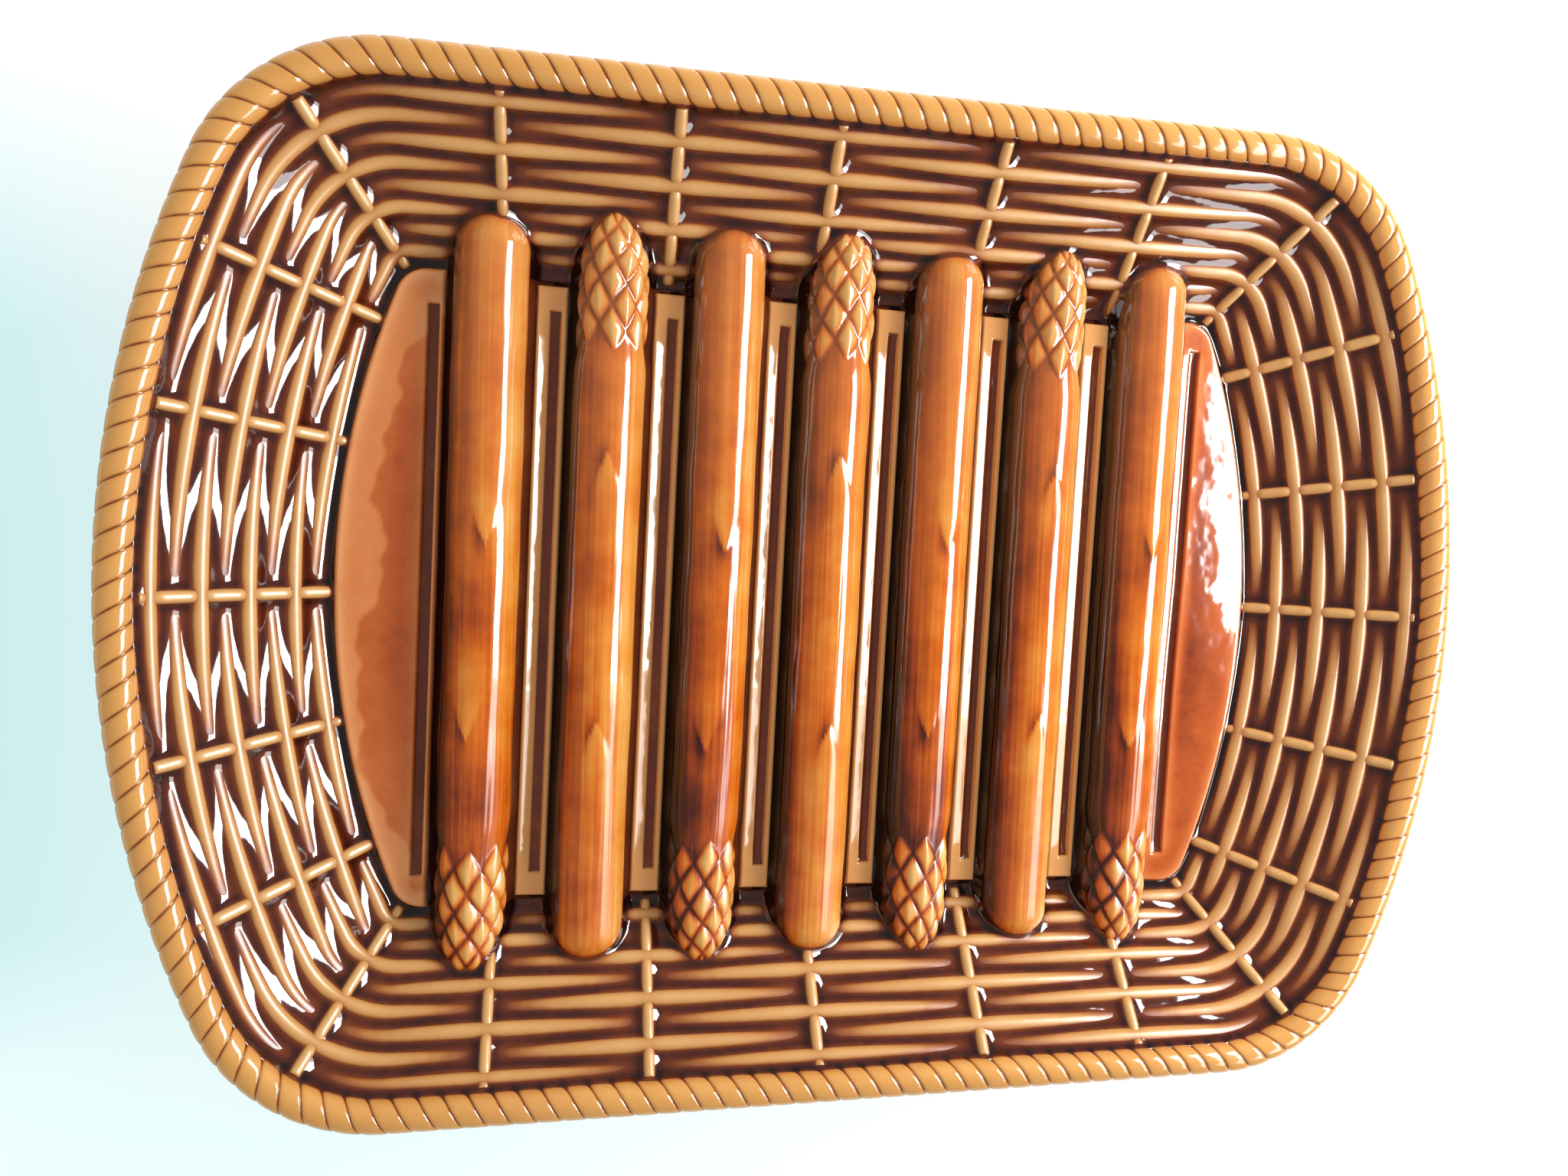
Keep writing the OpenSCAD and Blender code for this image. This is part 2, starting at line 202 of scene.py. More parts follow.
# Glaze: the depth attribute is how deep the surface lies below its surroundings, in millimetres, with
# the stains added; on the spears, in the well, on the bars and on the left field part of it is painted
# shade and painted light.
# The glaze runs off the ridges and gathers in the hollows, so depth alone makes most of the colour.
glaze = dict(
    rough=0.06, smoothest=0.03, roughest=0.4, gloss=0.6, ior=1.55,
    lowest=-1.6, span=4.2,  # the depths at both ends of the colour stops
    # scale, detail and roughness of each noise
    cloud=(55.0, 3.0, 0.55), fine=(420.0, 2.0, 0.5), grain=(1.0, 3.0, 0.6), swell=(90.0, 2.0, 0.45),
    fineDepth=0.06, fineBump=0.05, bump=0.0006, grainTurn=1.2,
    cloudRough=0.05, cloudMiddle=0.4,
    # where along y the gloss turns dull and the colour pale, and how fast
    dullFrom=-0.015, dullRate=-13.0, veilFrom=-0.01, veilRate=9.0, veil=(196, 136, 88),
)
tanStops = colourStops(
    (0.00, 228, 176, 108), (0.24, 208, 148, 82), (0.36, 170, 98, 42),
    (0.48, 120, 55, 24), (0.60, 82, 33, 19), (0.76, 30, 11, 10))
barStops = colourStops(
    (0.00, 236, 172, 104), (0.30, 224, 150, 82), (0.42, 176, 98, 44),
    (0.56, 104, 44, 20), (1.00, 62, 24, 18))
ropeStops = colourStops(
    (0.00, 236, 176, 100), (0.28, 218, 152, 78), (0.42, 176, 108, 50),
    (0.58, 118, 62, 32), (1.00, 64, 30, 22))
orangeStops = colourStops(
    (0.00, 240, 186, 104), (0.18, 234, 148, 54), (0.34, 214, 103, 12),
    (0.48, 166, 66, 6), (0.62, 92, 30, 3), (0.88, 26, 6, 2))
fieldStops = colourStops(
    (0.00, 244, 168, 108), (0.28, 218, 124, 64), (0.42, 194, 92, 38),
    (0.55, 120, 44, 12), (0.75, 48, 18, 16), (1.00, 20, 9, 12))


def glazed(name, stops, grain=(), blotch=0.10, wave=0.35, rough=glaze["rough"], dull=0.0, veil=0.0):
    f = Finish(bpy.data.materials.new(name))
    place = f.node("ShaderNodeTexCoord", {}, {}, "Object")
    pool = f.node("ShaderNodeAttribute", {"attribute_name": "pool"}, {}, "Fac")
    cloud = f.noise(place, *glaze["cloud"])
    fine = f.noise(place, *glaze["fine"])
    depth = (pool - glaze["lowest"]) * (1 / glaze["span"])
    depth = depth + (cloud - 0.5) * (2 * blotch) + (fine - 0.5) * glaze["fineDepth"]
    for share, stretch in grain:
        lines = f.noise(f.stretched(place, stretch, math.radians(glaze["grainTurn"])), *glaze["grain"])
        depth = depth + (lines - 0.5) * share
    colour = f.node("ShaderNodeValToRGB", {"stops": stops}, {"Fac": depth.held()})
    rough = (cloud - glaze["cloudMiddle"]) * glaze["cloudRough"] + rough
    if dull:
        y = f.axis(place, "Y")
        front = ((y - glaze["dullFrom"]) * glaze["dullRate"]).held()
        rough = rough + front * front * (3 - front * 2) * dull
        back = ((y - glaze["veilFrom"]) * glaze["veilRate"]).held()
        colour = f.mixed(back * veil, colour, (*srgb(*glaze["veil"]), 1))
    rough = rough.held(glaze["smoothest"], glaze["roughest"])
    swell = f.noise(place, *glaze["swell"])
    bump = f.node(
        "ShaderNodeBump", {},
        {"Strength": wave, "Distance": glaze["bump"], "Height": swell + fine * glaze["fineBump"]})
    shader = f.node(
        "ShaderNodeBsdfPrincipled", {},
        {"Base Color": colour, "Roughness": rough, "Normal": bump,
         "Specular IOR Level": glaze["gloss"], "IOR": glaze["ior"]})
    return f.shine(shader)


# Outline of the dish: a shallow bow at each end, round corners and straight long sides
dish = dict(
    halfL=185.0, halfW=136.5, bowR=275.0, cornerR=50.0,
    rimZ=39.0, ropeR=4.5, flareW=46.5, wallTopD=9.0, wallTopZ=36.75,
    floorZ=6.5, underZ=2.5, wallT=4.4,
    sunk=0.8,  # how far the moulded pieces reach into the floor
)
bowX = dish["halfL"] - dish["bowR"]
bowToCorner = dish["bowR"] - dish["cornerR"]
cornerY = dish["halfW"] - dish["cornerR"]
cornerX = bowX + math.sqrt(bowToCorner ** 2 - cornerY ** 2)
arcStart = math.asin(cornerY / bowToCorner)
slope = math.atan((dish["wallTopZ"] - dish["floorZ"]) / (dish["flareW"] - dish["wallTopD"]))
rootZ = dish["floorZ"] - dish["sunk"]


def arcRuns(d):
    return (dish["bowR"] - d) * arcStart, (dish["cornerR"] - d) * (math.pi / 2 - arcStart)


def quarterRun(d):
    bowRun, cornerRun = arcRuns(d)
    return bowRun + cornerRun + cornerX


# Place and outward normal after s along the outline moved in by d, from the right side's middle
def outlineAt(d, s):
    d, s = np.broadcast_arrays(np.asarray(d, float), np.asarray(s, float))
    quarter = quarterRun(d)
    lap = np.floor(s / quarter)
    part = np.mod(lap, 4).astype(int)
    t = s - lap * quarter
    t = np.where(part % 2 == 1, quarter - t, t)
    bowRun, cornerRun = arcRuns(d)
    bowR, cornerR = dish["bowR"] - d, dish["cornerR"] - d
    inBow, inCorner = t < bowRun, t < bowRun + cornerRun
    a = np.where(
        inBow, t / bowR,
        np.where(inCorner, arcStart + (t - bowRun) / cornerR, math.pi / 2))
    x = np.where(
        inBow, bowX + bowR * np.cos(a),
        np.where(inCorner, cornerX + cornerR * np.cos(a), cornerX - (t - bowRun - cornerRun)))
    y = np.where(
        inBow, bowR * np.sin(a),
        np.where(inCorner, cornerY + cornerR * np.sin(a), dish["halfW"] - d))
    flipX = np.where((part == 1) | (part == 2), -1, 1)
    flipY = np.where(part >= 2, -1, 1)
    return x * flipX, y * flipY, np.cos(a) * flipX, np.sin(a) * flipY


# Distance inside the rim, or inside a smaller outline of the same kind, for any point in plan
def depthInside(x, y, l=dish["halfL"], w=dish["halfW"], bow=dish["bowR"], corner=dish["cornerR"]):
    x, y = np.abs(x), np.abs(y)
    midX = l - bow
    midY = w - corner
    midC = midX + math.sqrt((bow - corner) ** 2 - midY ** 2)
    plain = np.minimum(bow - np.hypot(x - midX, y), w - y)
    turn = np.arctan2(y - midY, x - midC)
    inCorner = (x > midC) & (turn > math.asin(midY / (bow - corner))) & (turn < math.pi / 2)
    return np.where(inCorner, corner - np.hypot(x - midC, y - midY), plain)


def wallZ(d):
    return dish["floorZ"] + np.maximum(0, dish["flareW"] - d) * math.tan(slope)


# Mesh helpers
def quadsBetween(a, b):
    return np.stack([a, b, np.roll(b, -1, -1), np.roll(a, -1, -1)], -1).reshape(-1, 4).tolist()


def loft(rings, wrap=False):
    rings = np.asarray(rings, float)
    m, n = rings.shape[:2]
    index = np.arange(m * n).reshape(m, n)
    points = rings.reshape(-1, 3)
    if wrap:
        return points, quadsBetween(index, np.roll(index, -1, 0))
    faces = quadsBetween(index[:-1], index[1:])
    # each open end is closed by a fan
    points = np.vstack([points, rings[0].mean(0), rings[-1].mean(0)])
    first, last, base = m * n, m * n + 1, (m - 1) * n
    faces += [(first, k, (k + 1) % n) for k in range(n)]
    faces += [(last, base + (k + 1) % n, base + k) for k in range(n)]
    return points, faces


def joined(parts):
    points, faces, start = [], [], 0
    for p, f in parts:
        points.append(p)
        faces += [tuple(i + start for i in face) for face in f]
        start += len(p)
    return np.vstack(points), faces


def signedVolume(points, faces):
    tris = np.array([(f[0], f[i], f[i + 1]) for f in faces for i in range(1, len(f) - 1)])
    a, b, c = points[tris[:, 0]], points[tris[:, 1]], points[tris[:, 2]]
    return float((a * np.cross(b, c)).sum() / 6)


shapes = {}  # name -> points, faces and stain, for the glaze


# A stain adds to the glaze's depth at each point, in the order of the rings; on the spears, the bars
# and the left field part of it is painted shade and painted light
def keepShape(name, mesh, stainAndPaintedLight=0.0):
    points, faces = mesh
    if signedVolume(points, faces) < 0:
        faces = [tuple(reversed(f)) for f in faces]
    stainAndPaintedLight = np.ravel(stainAndPaintedLight)
    shapes[name] = (points, faces, np.pad(stainAndPaintedLight, (0, len(points) - len(stainAndPaintedLight)), mode="edge"))


# Rope rim
rope = dict(
    twists=178, steps=(0.0, 0.035, 0.075, 0.13, 0.22, 0.34, 0.5, 0.66, 0.78, 0.87, 0.925, 0.965),
    round=30, groove=0.46, bulge=0.10, room=0.02, shift=7.5, stainAndPaintedLight=1.3,
    layFrom=-70, layTo=200,  # the part of the bead that shows its lay, in degrees
)


def makeRope():
    start, end = math.radians(rope["layFrom"]), math.radians(rope["layTo"])
    around = np.linspace(0, 2 * math.pi, rope["round"], endpoint=False) + start
    lean = np.where(
        around <= end, around / math.pi,
        end / math.pi + (around - end) / (2 * math.pi + start - end) * (start - end) / math.pi)
    run = 4 * quarterRun(dish["ropeR"])
    pitch = run / rope["twists"]
    steps = np.array(rope["steps"])
    phase = (np.arange(rope["twists"])[:, None] + steps[None, :]).ravel()
    off = np.abs(2 * np.tile(steps, rope["twists"]) - 1)
    relief = rope["groove"] * off ** 9 + rope["bulge"] * off ** 2
    stainAndPaintedLight = np.repeat(rope["stainAndPaintedLight"] * off ** 8, rope["round"])
    s = phase[:, None] * pitch - rope["shift"] * lean[None, :]
    x, y, nx, ny = outlineAt(dish["ropeR"], np.mod(s, run))
    r = dish["ropeR"] - rope["room"] - relief[:, None] * np.ones_like(around)[None, :]
    out = r * np.cos(around)
    z = dish["rimZ"] + r * np.sin(around)
    rings = np.stack([x + nx * out, y + ny * out, z], -1)
    keepShape("rope_rim", loft(rings, wrap=True), stainAndPaintedLight)


makeRope()

# Woven wall
weave = dict(
    firstD=10.6, pitch=4.65, rows=8, width=4.5, height=2.35, longPitch=46.0, shortPitch=43.0,
    root=1.4,  # how far strands and stakes reach into the wall
    # strands: rings along and points around, shares at the ends, and the hand's unevenness
    steps=46, sides=15, reach=0.985, endWidth=0.40, endHeight=-0.16, flattest=0.02,
    widthArch=0.62, heightArch=0.85, crown=0.9, evenness=(0.94, 1.05), bend=0.22, tilt=0.12,
    # stakes: where they start and end, and how far they duck where a strand crosses over
    stakes=24, stakeW=3.3, stakeH=2.55, stakeStain=-0.5, stakeFrom=8.6, stakeTo=46.4,
    stakeSteps=70, stakeSides=13, stakeCrown=0.6, duck=0.75, stakeEvenness=(0.95, 1.05),
    # how far each stake stands off its even place, in long pitches
    uneven=(0, 0, 0.04, 0, 0.11, 0.13, 0.13, 0.05, 0.03, 0, -0.09, -0.12,
            0, 0, 0, 0, -0.04, -0.10, -0.08, -0.03, 0.01, 0, -0.13, -0.08),
)


# Stakes 0 to 2 stand on the right side, 3 in the corner, 4 to 8 along the back, 9 in the next
# corner and 10 to 12 on the left side; the front repeats the back
def halfStake(d, i):
    quarter = quarterRun(d)
    bowRun, cornerRun = arcRuns(d)
    if i <= 2:
        return (dish["bowR"] - d) * i * weave["shortPitch"] / dish["bowR"]
    if i == 3:
        return bowRun + cornerRun / 2
    if i < 9:
        return quarter - (6 - i) * weave["longPitch"]
    if i == 9:
        return 2 * quarter - bowRun - cornerRun / 2
    return 2 * quarter - (dish["bowR"] - d) * (12 - i) * weave["shortPitch"] / dish["bowR"]


def stakeRun(d, i):
    whole = 4 * quarterRun(d)
    lap, i = divmod(i, weave["stakes"])
    mirrored = i > weave["stakes"] // 2
    even = whole - halfStake(d, weave["stakes"] - i) if mirrored else halfStake(d, i)
    return lap * whole + even + weave["uneven"][i] * weave["longPitch"]


def onWall(d, s, across, up):
    x, y, nx, ny = outlineAt(d, s)
    inwards = across * math.cos(slope) + up * math.sin(slope)
    z = wallZ(d) - across * math.sin(slope) + up * math.cos(slope)
    return np.stack([x - inwards * nx, y - inwards * ny, z + 0 * x], -1)


def makeStrand(d, i):
    steps, sides = weave["steps"], weave["sides"]
    mid, before, after = stakeRun(d, i), stakeRun(d, i - 1), stakeRun(d, i + 1)
    t = np.linspace(-weave["reach"], weave["reach"], steps)
    s = np.where(t < 0, mid + t * (mid - before), mid + t * (after - mid))
    arch = np.cos(t * math.pi / 2)
    swell = weave["endWidth"] + (1 - weave["endWidth"]) * arch ** weave["widthArch"]
    width = weave["width"] * swell / 2 * chance.uniform(*weave["evenness"])
    rise = weave["endHeight"] + (1 - weave["endHeight"]) * arch ** weave["heightArch"]
    high = weave["height"] * rise * chance.uniform(*weave["evenness"])
    bend = chance.uniform(-weave["bend"], weave["bend"]) * arch
    bend = bend + chance.uniform(-weave["tilt"], weave["tilt"]) * t
    a = np.linspace(0, math.pi, sides)
    across = np.cos(a)[None, :] * width[:, None] + bend[:, None]
    body = np.maximum(high, weave["flattest"])[:, None]
    up = np.sin(a)[None, :] ** weave["crown"] * body + np.minimum(high, 0)[:, None]
    across = np.hstack([across, -width[:, None] + bend[:, None], width[:, None] + bend[:, None]])
    up = np.hstack([up, np.full((steps, 2), -weave["root"])])
    return loft(onWall(d, np.repeat(s[:, None], sides + 2, 1), across, up))


# Every second stake carries a strand, and the rows take turns
for row in range(1, weave["rows"] + 1):
    d = weave["firstD"] + (row - 1) * weave["pitch"]
    keepShape(f"weave_row_{row}", joined(
        [makeStrand(d, i) for i in range((row - 1) % 2, weave["stakes"], 2)]))


def makeStake(i):
    d = np.linspace(weave["stakeFrom"], weave["stakeTo"], weave["stakeSteps"])
    s = np.array([stakeRun(k, i) for k in d])
    x, y, nx, ny = outlineAt(d, s)
    turns = (d - weave["firstD"]) / weave["pitch"]
    under = np.cos((turns - i % 2) * math.pi)
    high = weave["stakeH"] - weave["duck"] * np.maximum(0, under) ** 2
    wide = np.full(len(d), weave["stakeW"] / 2 * chance.uniform(*weave["stakeEvenness"]))
    a = np.linspace(0, math.pi, weave["stakeSides"])
    side = np.cos(a)[None, :] * wide[:, None]
    up = np.sin(a)[None, :] ** weave["stakeCrown"] * high[:, None]
    side = np.hstack([side, -wide[:, None], wide[:, None]])
    up = np.hstack([up, np.full((len(d), 2), -weave["root"])])
    z = wallZ(d)[:, None] + up * math.cos(slope)
    inwards = up * math.sin(slope)
    px = x[:, None] - inwards * nx[:, None] - side * ny[:, None]
    py = y[:, None] - inwards * ny[:, None] + side * nx[:, None]
    return loft(np.stack([px, py, z], -1))


keepShape(
    "weave_stakes", joined([makeStake(i) for i in range(weave["stakes"])]), weave["stakeStain"])
print("rope and weave shaped")

# Spears; every second one has its tip at the front
spears = dict(
    count=7, pitch=32.4, shift=-0.8, lean=1.2, length=211.0, radius=10.2, axis=6.0, round=73,
    tip=27.0, tipR=8.9, blunt=3.2, point=0.5, slimFrom=44, slimRun=12, cutR=9.3, room=0.25,
    # numbers of rings at the cut end and the tip, and along the stem and the scaly part
    endSteps=(14, 16), stemSteps=(100, 110), fineRun=46, lastRun=3, lastReach=2.97, thinnest=0.01,
    # how far the tips at the back and at the front rise with the wall, and over what length
    tipLift=(4.4, 2.4), liftRun=26, liftShape=1.5,
    cutShort=(2.0, 2.4, 0.5, 2.0, 3.0, 3.5, 1.5),  # how much of each cut end is missing
    sunk=1.0, footSunk=2.0,  # how far the ends stay inside the thickness of the wall
    # scales: where each row ends, counted from the end of the tip, and their width in degrees
    scaleEnds=(0.0, 4.0, 8.5, 13.5, 19.0, 25.0, 31.5, 38.0), scaleTurn=24.0, scaleH=1.2,
    scaleRib=0.22, scaleRise=0.85, scaleFall=0.2, scaleLine=0.30, scaleStain=0.25, scaleBody=-1.0,
    # how far the scales wander along and around, over what length, and the change at each spear
    scaleDrift=((0.8, 21, 1.9), (3.2, 5.2, 2.3)),
    # bracts: place along the spear and turn, with the tip at the back or at the front
    bracts=(((40.0, 2.0), (-35.0, 4.0)), ((40.0, 12.0), (-16.0, -6.0))),
    bractL=30.0, bractW=4.6, bractPoint=11, bractH=0.32, bractDrift=(2, 3), bractPale=0.4,
    # the glaze that gathers beyond a bract, darkened on its left by painted shade: place, lean and size
    # along and around
    gatherAndShade=1.0, gatherAt=(1.5, 8), gatherLean=0.12, gatherSize=(5.0, 10),
    swells=(5.0, 9.0, 16.0, 30.0), swellH=0.09, swellTurn=60, calmRun=12,
    ridges=(0.37, 0.61, 0.83, 1.12, 1.55), ridgeH=0.024, ridgeLeast=0.45, ridgeFront=0.9,
    ridgeWander=2.0, wanderRun=(17, 34), fadeRun=(9, 22),
    # stains towards the front, down the flanks and before some of the tips; down the left flank, away
    # from the lamps, it is gathered glaze and painted shade
    frontFrom=15, frontRun=70, lowStain=(-0.2, 0.32), palest=-0.9, darkest=0.5,
    leftPoolAndShade=2.5, leftTurn=(6, 60), rightStain=0.3, rightTurn=(50, 35),
    beforeTip=(0.45, 0, 0.55, 0, 0.6, 0, 0.1), beforeTipAt=46, beforeTipRun=14,
)


def leanInto(x, y, turned):
    if turned:
        x, y = -x, -y
    a = -math.radians(spears["lean"])
    return x * math.cos(a) - y * math.sin(a), x * math.sin(a) + y * math.cos(a)


# Overlapping diamond scales over the tip; the turn is in degrees
def scaleRelief(fromEnd, turn):
    ends = np.array(spears["scaleEnds"])
    v = np.interp(fromEnd, ends, np.arange(len(ends)))
    w = turn / spears["scaleTurn"]
    a, b = (v + w) / 2, (v - w) / 2
    cellA, cellB = np.round(a), np.round(b)
    da, db = 2 * (a - cellA), 2 * (b - cellB)
    centre = cellA + cellB
    # each scale is a soft pillow with a rib, that rises to its free point in a dark outline
    pillow = (1 - np.abs(da) ** 2.5) * (1 - np.abs(db) ** 2.5)
    rib = spears["scaleRib"] * np.exp(-(((da - db) / 0.5) ** 2))
    rise = spears["scaleRise"] - spears["scaleFall"] * (da + db) / 2
    fromLine = 1 - np.maximum(np.abs(da), np.abs(db))
    line = np.exp(-((fromLine / spears["scaleLine"]) ** 2))
    stainAndPaintedLight = spears["scaleBody"] + (spears["scaleStain"] - spears["scaleBody"]) * line
    inside = (centre >= 0) & (centre <= len(ends) - 2) & (fromEnd < ends[-1])
    return np.where(inside, pillow ** 0.8 * (rise + rib), 0), np.where(inside, stainAndPaintedLight, 0)


# A bract is a leaf with a raised point that dies away down the stem
def bractRelief(y, turn, at, side):
    g = at - y
    x = math.radians(1) * (turn - side) * spears["radius"]
    half = spears["bractW"] * np.clip(g / spears["bractPoint"], 0.001, 1) ** 0.75
    body = np.clip(1 - (np.abs(x) / half) ** 3, 0, 1)
    fade = np.clip(1 - g / spears["bractL"], 0, 1) ** 1.1
    return np.where((g > 0) & (g < spears["bractL"]), body * fade, 0)


# Places along the spear, from its cut end to its tip, and the radius at each
def spearProfile(k):
    half, cutR = spears["length"] / 2, spears["cutR"]
    fineFrom, lastFrom = half - spears["fineRun"], half - spears["lastRun"]
    cutTurn, tipTurn = (np.linspace(0, math.pi / 2, steps) for steps in spears["endSteps"])
    y = np.concatenate([
        -half + cutR * (1 - np.cos(cutTurn)),
        np.linspace(-half + cutR + 1.2, fineFrom, spears["stemSteps"][0]),
        np.linspace(fineFrom + 0.5, lastFrom, spears["stemSteps"][1]),
        lastFrom + spears["lastReach"] * np.sin(tipTurn)[1:]])
    y = np.where(y < 0, y * (1 - spears["cutShort"][k - 1] / half), y)
    r = np.full_like(y, spears["radius"])
    cutEnd = y[0] + cutR
    fall = (cutEnd - y) / cutR
    rounded = spears["radius"] - cutR * (1 - np.sqrt(np.clip(1 - fall ** 2, 0, 1)))
    r = np.where(y < cutEnd, rounded, r)
    t = np.clip(1 - (half - y) / spears["tip"], 0, 1)
    slim = np.clip((y - half + spears["slimFrom"]) / spears["slimRun"], 0, 1)
    r = r + (spears["tipR"] - spears["radius"]) * slim * slim * (3 - 2 * slim)
    return y, np.where(t > 0, r * np.clip(1 - t ** spears["blunt"], 0, 1) ** spears["point"], r)


# Relief and stain of the scales and bracts
def leafRelief(k, tipDown, yy, tt, share):
    (along, alongRun, alongStart), (around, aroundRun, aroundStart) = spears["scaleDrift"]
    scales, stainAndPaintedLight = scaleRelief(
        spears["length"] / 2 - yy + along * np.sin(tt / alongRun + alongStart * k),
        tt + around * np.sin(yy / aroundRun + aroundStart * k))
    relief = spears["scaleH"] * scales * np.clip(share * 1.25, 0, 1)
    alongDrift, sideDrift = spears["bractDrift"]
    (pastPoint, toSide), (gatherL, gatherW) = spears["gatherAt"], spears["gatherSize"]
    for at, side in spears["bracts"][1 if tipDown else 0]:
        at = at + chance.uniform(-alongDrift, alongDrift)
        side = side + chance.uniform(-sideDrift, sideDrift)
        leaf = bractRelief(yy, tt, at, side)
        relief = relief + spears["bractH"] * leaf
        # the glaze gathers beyond the leaf's point, and painted shade darkens it mostly on its left,
        # away from the lamps
        aside = (tt - side) * (1 if tipDown else -1)
        fromPoint = yy - at + pastPoint + aside * spears["gatherLean"]
        beyond = np.hypot(fromPoint / gatherL, (aside - toSide) / gatherW)
        gatheredAndShade = np.exp(-beyond ** 2) * np.clip(1 - 6 * leaf, 0, 1)
        stainAndPaintedLight = stainAndPaintedLight + spears["gatherAndShade"] * gatheredAndShade - spears["bractPale"] * leaf
    return relief, stainAndPaintedLight


# The glaze is darker before some of the front tips and down the flanks; down the left flank, away from
# the lamps, this is gathered glaze and painted shade
def runStainAndShade(k, tipDown, yy, tt, front):
    stainAndPaintedLight = spears["lowStain"][1 if tipDown else 0] * front
    fromTip = yy - spears["length"] / 2 + spears["beforeTipAt"]
    stainAndPaintedLight = stainAndPaintedLight + spears["beforeTip"][k - 1] * np.exp(-(fromTip / spears["beforeTipRun"]) ** 2)
    leftwards = tt if tipDown else -tt
    (leftFrom, leftRun), (rightFrom, rightRun) = spears["leftTurn"], spears["rightTurn"]
    # painted shade, with gathered glaze, darkens the left flank, away from the lamps
    stainAndPaintedLight = stainAndPaintedLight + spears["leftPoolAndShade"] * np.clip((leftwards - leftFrom) / leftRun, 0, 1) ** 1.6
    return stainAndPaintedLight + spears["rightStain"] * np.clip((-leftwards - rightFrom) / rightRun, 0, 1)


# Slow swelling along the stem, and fine lengthwise ridges that are stronger at the front
def stemRelief(yy, tt, front):
    swell = sum(
        spears["swellH"] * math.cos(2 * math.pi * chance.uniform())
        * np.cos(yy / length + tt / spears["swellTurn"] + chance.uniform(0, 6))
        for length in spears["swells"])
    ridges = 0 * tt
    strength = spears["ridgeLeast"] + spears["ridgeFront"] * np.clip(front, 0, 1)
    for waves in spears["ridges"]:
        wander = np.sin(yy / chance.uniform(*spears["wanderRun"]) + chance.uniform(0, 6))
        fade = 0.5 + 0.5 * np.cos(yy / chance.uniform(*spears["fadeRun"]) + chance.uniform(0, 6))
        ridge = np.cos(tt * waves + spears["ridgeWander"] * wander)
        ridges = ridges + spears["ridgeH"] * ridge * fade * strength
    return swell + ridges


def makeSpear(k):
    tipDown = k % 2 == 1
    half = spears["length"] / 2
    y, r = spearProfile(k)
    yy, tt = np.meshgrid(y, np.linspace(-90, 90, spears["round"]), indexing="ij")
    share = np.clip(r / spears["radius"], 0, 1)[:, None]
    relief, stainAndPaintedLight = leafRelief(k, tipDown, yy, tt, share)
    front = ((yy if tipDown else -yy) + spears["frontFrom"]) / spears["frontRun"]
    front = np.clip(front, -0.2, 1)
    stainAndPaintedLight = stainAndPaintedLight + runStainAndShade(k, tipDown, yy, tt, front)
    calm = np.clip((half - np.abs(yy)) / spears["calmRun"], 0, 1)
    body = r[:, None] - spears["room"] * share + relief + stemRelief(yy, tt, front) * calm * share
    body = np.maximum(body, spears["thinnest"])
    rad = np.radians(tt)
    x = body * np.sin(rad)
    rising = np.clip((y - half + spears["liftRun"]) / spears["liftRun"], 0, 1)
    lift = spears["tipLift"][1 if tipDown else 0] * rising ** spears["liftShape"]
    z = dish["floorZ"] + spears["axis"] + lift[:, None] + body * np.cos(rad)
    # two more columns carry the flanks down to the floor
    foot = np.full((len(y), 1), rootZ)
    x = np.hstack([x, x[:, -1:], x[:, :1]])
    z = np.hstack([z, foot, foot])
    stainAndPaintedLight = np.hstack([stainAndPaintedLight, stainAndPaintedLight[:, -1:], stainAndPaintedLight[:, :1]])
    gx, gy = leanInto(x, np.repeat(y[:, None], x.shape[1], 1), tipDown)
    gx = gx + spears["shift"] + (k - (spears["count"] + 1) / 2) * spears["pitch"]
    sunk = np.full(x.shape, spears["sunk"])
    sunk[:, -2:] = spears["footSunk"]
    wall = wallZ(depthInside(gx, gy))
    z = np.maximum(z, np.where(wall > dish["floorZ"], wall - sunk, z))
    keepShape(f"asparagus_{k}", loft(np.stack([gx, gy, z], -1)), stainAndPaintedLight)


for k in range(1, spears["count"] + 1):
    makeSpear(k)
print("spears shaped")

# Drain bars and end fields
bars = dict(
    count=6, height=3.8, width=9.0, length=172.4, edge=0.9,
    slotW=5.2, slotL=158.4, slotDeep=3.1, slotSoft=1.1, slotShare=0.25, lowest=0.4,
    # the lip on the left of each slot: its place, the spread of its slope, and each bar's slope
    lipFrom=-3.9, lipTo=-0.8, lipGap=0.2, lipEnd=5, lipRange=1.5,
    lips=(25.0, 21.4, 17.2, 13.6, 10.2, 7.4),
    # coarse and fine steps of the mesh, and how far from an edge they are fine
    acrossSteps=(0.3, 0.14, 1.0), alongSteps=(2.5, 0.2, 6.0),
    # the bars' glaze is tan by itself, and is set paler as painted light where the spears shade the
    # bars
    stainAndPaintedLight=-1.3, palest=-0.6, darkest=2.4,
)


def softStep(distance, reach):
    t = np.clip(distance / reach, 0, 1)
    return np.sqrt(np.clip(1 - (1 - t) ** 2, 0, 1))


